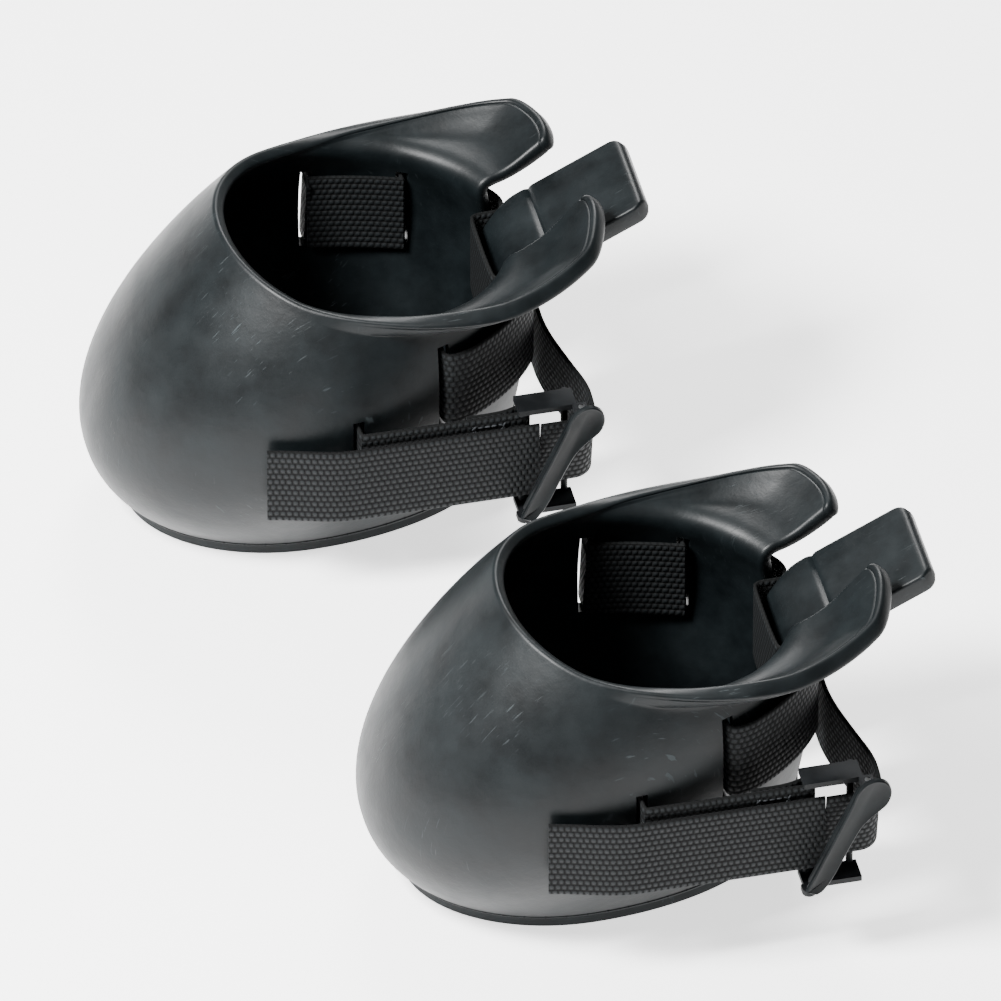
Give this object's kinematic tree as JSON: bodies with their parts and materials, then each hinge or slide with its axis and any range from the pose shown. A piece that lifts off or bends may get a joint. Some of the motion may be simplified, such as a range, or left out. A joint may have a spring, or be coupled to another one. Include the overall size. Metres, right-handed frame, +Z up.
{
  "type": "knee pads",
  "caption": "Pair of moulded rubber cup knee pads with flared rear ears, a rear tongue, webbing leg straps and cam buckles.",
  "frame": {"origin": "on the floor, under the middle of the first pad", "axes": "+X from the nose of a pad to its tongue, +Y to the far side wall, +Z up"},
  "size_m": [0.3033, 0.4409, 0.1488],
  "materials": {
    "shell_rubber": "satin moulded",
    "sole_rubber": "matte moulded",
    "cushion": "matte sponge",
    "webbing": "coarse woven",
    "thread": "sewn",
    "buckle_plastic": "satin",
    "pin_steel": "plain"
  },
  "bodies": {
    "pad_a": {"shell_a": "shell_rubber", "outsole_a": "sole_rubber", "knee_cushion_a": "cushion", "tongue_stem_a": "shell_rubber", "strap_a": "webbing", "strap_stitch_a": "thread", "buckle_frame_a": "buckle_plastic", "buckle_pin_a": "pin_steel"},
    "flap_a": {"tongue_flap_a": "shell_rubber"},
    "lever_a": {"buckle_lever_a": "buckle_plastic"},
    "tail_a": {"strap_tail_a": "webbing"},
    "pad_b": {"shell_b": "shell_rubber", "outsole_b": "sole_rubber", "knee_cushion_b": "cushion", "tongue_stem_b": "shell_rubber", "strap_b": "webbing", "strap_stitch_b": "thread", "buckle_frame_b": "buckle_plastic", "buckle_pin_b": "pin_steel"},
    "flap_b": {"tongue_flap_b": "shell_rubber"},
    "lever_b": {"buckle_lever_b": "buckle_plastic"},
    "tail_b": {"strap_tail_b": "webbing"}
  },
  "joints": [
    {"name": "tongue_flap_a_flex", "type": "hinge", "parent": "pad_a", "child": "flap_a", "pos_m": [0.09868, 0, 0.115], "axis": [0, -1, 0], "range_deg": [-20, 15]},
    {"name": "buckle_lever_a_hinge", "type": "hinge", "parent": "pad_a", "child": "lever_a", "pos_m": [0.08168, -0.08894, 0.06], "axis": [-0.4067, 0, -0.9135], "range_deg": [0, 60]},
    {"name": "strap_tail_a_slide", "type": "slide", "parent": "pad_a", "child": "tail_a", "axis": [-1, 0, 0], "range_m": [0, 0.025]},
    {"name": "tongue_flap_b_flex", "type": "hinge", "parent": "pad_b", "child": "flap_b", "pos_m": [0.15968, -0.262, 0.115], "axis": [0, -1, 0], "range_deg": [-20, 15]},
    {"name": "buckle_lever_b_hinge", "type": "hinge", "parent": "pad_b", "child": "lever_b", "pos_m": [0.14268, -0.35095, 0.06], "axis": [-0.4067, 0, -0.9135], "range_deg": [0, 60]},
    {"name": "strap_tail_b_slide", "type": "slide", "parent": "pad_b", "child": "tail_b", "axis": [-1, 0, 0], "range_m": [0, 0.025]},
    {"name": "second_pad_place", "type": "slide", "parent": "pad_a", "child": "pad_b", "axis": [1, 0, 0], "range_m": [-0.03, 0.05]}
  ]
}
